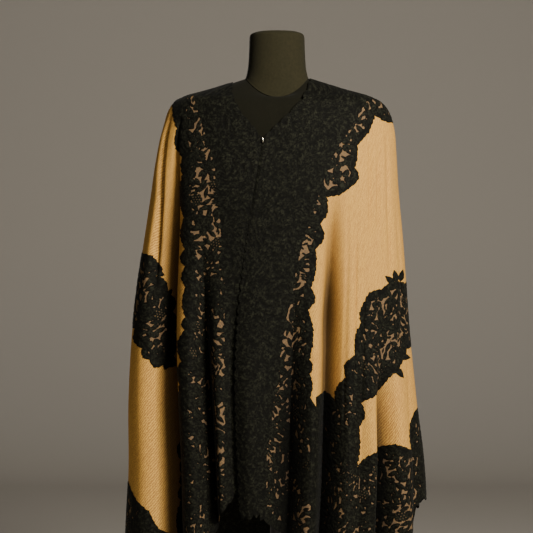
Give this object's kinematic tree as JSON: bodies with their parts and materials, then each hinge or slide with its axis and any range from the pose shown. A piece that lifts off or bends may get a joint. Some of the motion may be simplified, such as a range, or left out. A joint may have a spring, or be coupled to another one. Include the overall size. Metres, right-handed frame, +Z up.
{
  "type": "lace shawl on a dress form",
  "caption": "Wool shawl with black floral lace borders and sprays, pinned at the chest and hanging in folds round a limbless dress form on a round stand.",
  "frame": {"origin": "centre of the underside of the stand's base, on the floor", "axes": "+Z up, -Y towards the front of the form, +X to the right as seen from the front"},
  "size_m": [0.5972, 0.38, 1.494],
  "materials": {
    "wool": "fine camel twill with a soft nap",
    "lace": "black corded floral lace",
    "jersey": "black jersey cover",
    "neck_cover": "dark olive-grey cover",
    "stand": "satin black paint",
    "pin": "bright"
  },
  "bodies": {
    "root": {"wool_front_left": "wool", "wool_back": "wool", "wool_front_right": "wool", "lace_front_left": "lace", "lace_front_right": "lace", "lace_neck_back": "lace", "lace_patch_left": "lace", "lace_garland_right": "lace", "lace_garland_back": "lace", "lace_hem_left": "lace", "lace_hem_back": "lace", "form_torso": "jersey", "form_neck": "neck_cover", "stand_collar": "stand", "stand_pole": "stand", "stand_base": "stand", "shawl_pin": "pin"}
  },
  "joints": []
}
